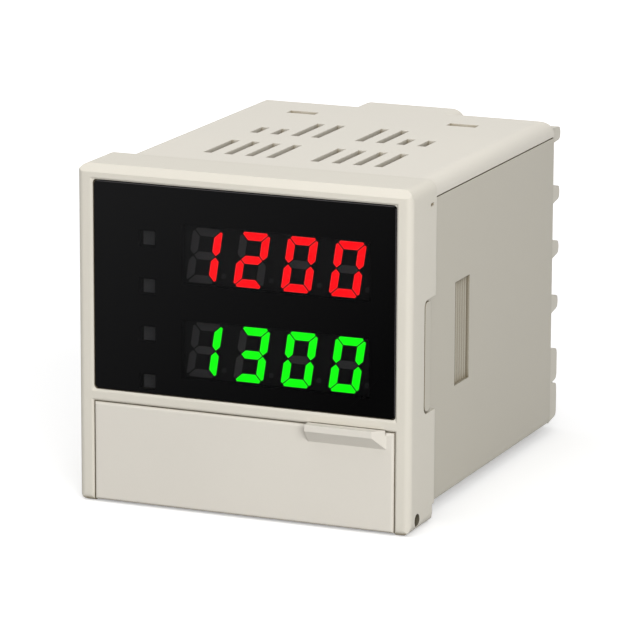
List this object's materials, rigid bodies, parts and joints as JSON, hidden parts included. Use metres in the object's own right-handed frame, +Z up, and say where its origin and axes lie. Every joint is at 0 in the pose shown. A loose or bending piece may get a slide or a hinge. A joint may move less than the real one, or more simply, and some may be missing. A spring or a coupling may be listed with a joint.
{
  "type": "panel temperature controller",
  "caption": "Panel-mounted temperature controller with smoked display window, drop-down key cover, vented plug-in case and rear screw terminals.",
  "frame": {"origin": "on the surface that the controller stands on, under the middle of its box", "axes": "+X to the right seen from the front, +Y from the front towards the terminals, +Z up"},
  "size_m": [0.0734, 0.097, 0.071],
  "materials": {
    "case_plastic": "fine satin moulding, warm light grey",
    "front_plastic": "fine satin moulding, warm light grey",
    "smoked_window": "smoked acrylic, glossy",
    "display_housing": "black moulding",
    "red_display": "lit resin bars",
    "green_display": "lit resin bars",
    "dark_display": "unlit resin",
    "board_laminate": "glass-fibre laminate with green mask",
    "key_rubber": "moulded key, grey",
    "switch_plastic": "black moulding",
    "terminal_plastic": "moulding at the rear, warm light grey",
    "contact_metal": "tinned brass contact",
    "screw_steel": "nickel-plated steel",
    "core_steel": "varnished laminations",
    "coil_wrap": "yellow winding tape",
    "relay_plastic": "blue sealed relay",
    "capacitor_sleeve": "dark sleeve"
  },
  "bodies": {
    "controller": {"front_bezel": "front_plastic", "display_filter": "smoked_window", "upper_display_module": "display_housing", "upper_display_lit_segments": "red_display", "upper_display_dark_segments": "dark_display", "lower_display_module": "display_housing", "lower_display_lit_segments": "green_display", "lower_display_dark_segments": "dark_display", "indicator_lamps": "dark_display", "lamp_bar": "display_housing", "display_board": "board_laminate", "key_switches": "switch_plastic", "case_body": "case_plastic", "case_lid": "case_plastic", "terminal_block": "terminal_plastic", "terminal_contacts": "contact_metal", "terminal_washers": "screw_steel", "terminal_screws": "screw_steel", "control_board": "board_laminate", "power_board": "board_laminate", "transformer_core": "core_steel", "transformer_coil": "coil_wrap", "output_relay": "relay_plastic", "alarm_relay": "relay_plastic", "smoothing_capacitors": "capacitor_sleeve", "processor_chip": "switch_plastic", "board_headers": "switch_plastic"},
    "cover": {"front_cover": "front_plastic"},
    "key_mode": {"key_mode": "key_rubber"},
    "key_down": {"key_down": "key_rubber"},
    "key_up": {"key_up": "key_rubber"}
  },
  "joints": [
    {"name": "cover_hinge", "type": "hinge", "parent": "controller", "child": "cover", "pos_m": [0, -0.0421, 0.0026], "axis": [1, 0, 0], "range_deg": [0, 100]},
    {"name": "key_mode_press", "type": "slide", "parent": "controller", "child": "key_mode", "axis": [0, 1, 0], "range_m": [0, 0.0003], "stiffness_N_per_m": 300},
    {"name": "key_down_press", "type": "slide", "parent": "controller", "child": "key_down", "axis": [0, 1, 0], "range_m": [0, 0.0003], "stiffness_N_per_m": 300},
    {"name": "key_up_press", "type": "slide", "parent": "controller", "child": "key_up", "axis": [0, 1, 0], "range_m": [0, 0.0003], "stiffness_N_per_m": 300}
  ]
}
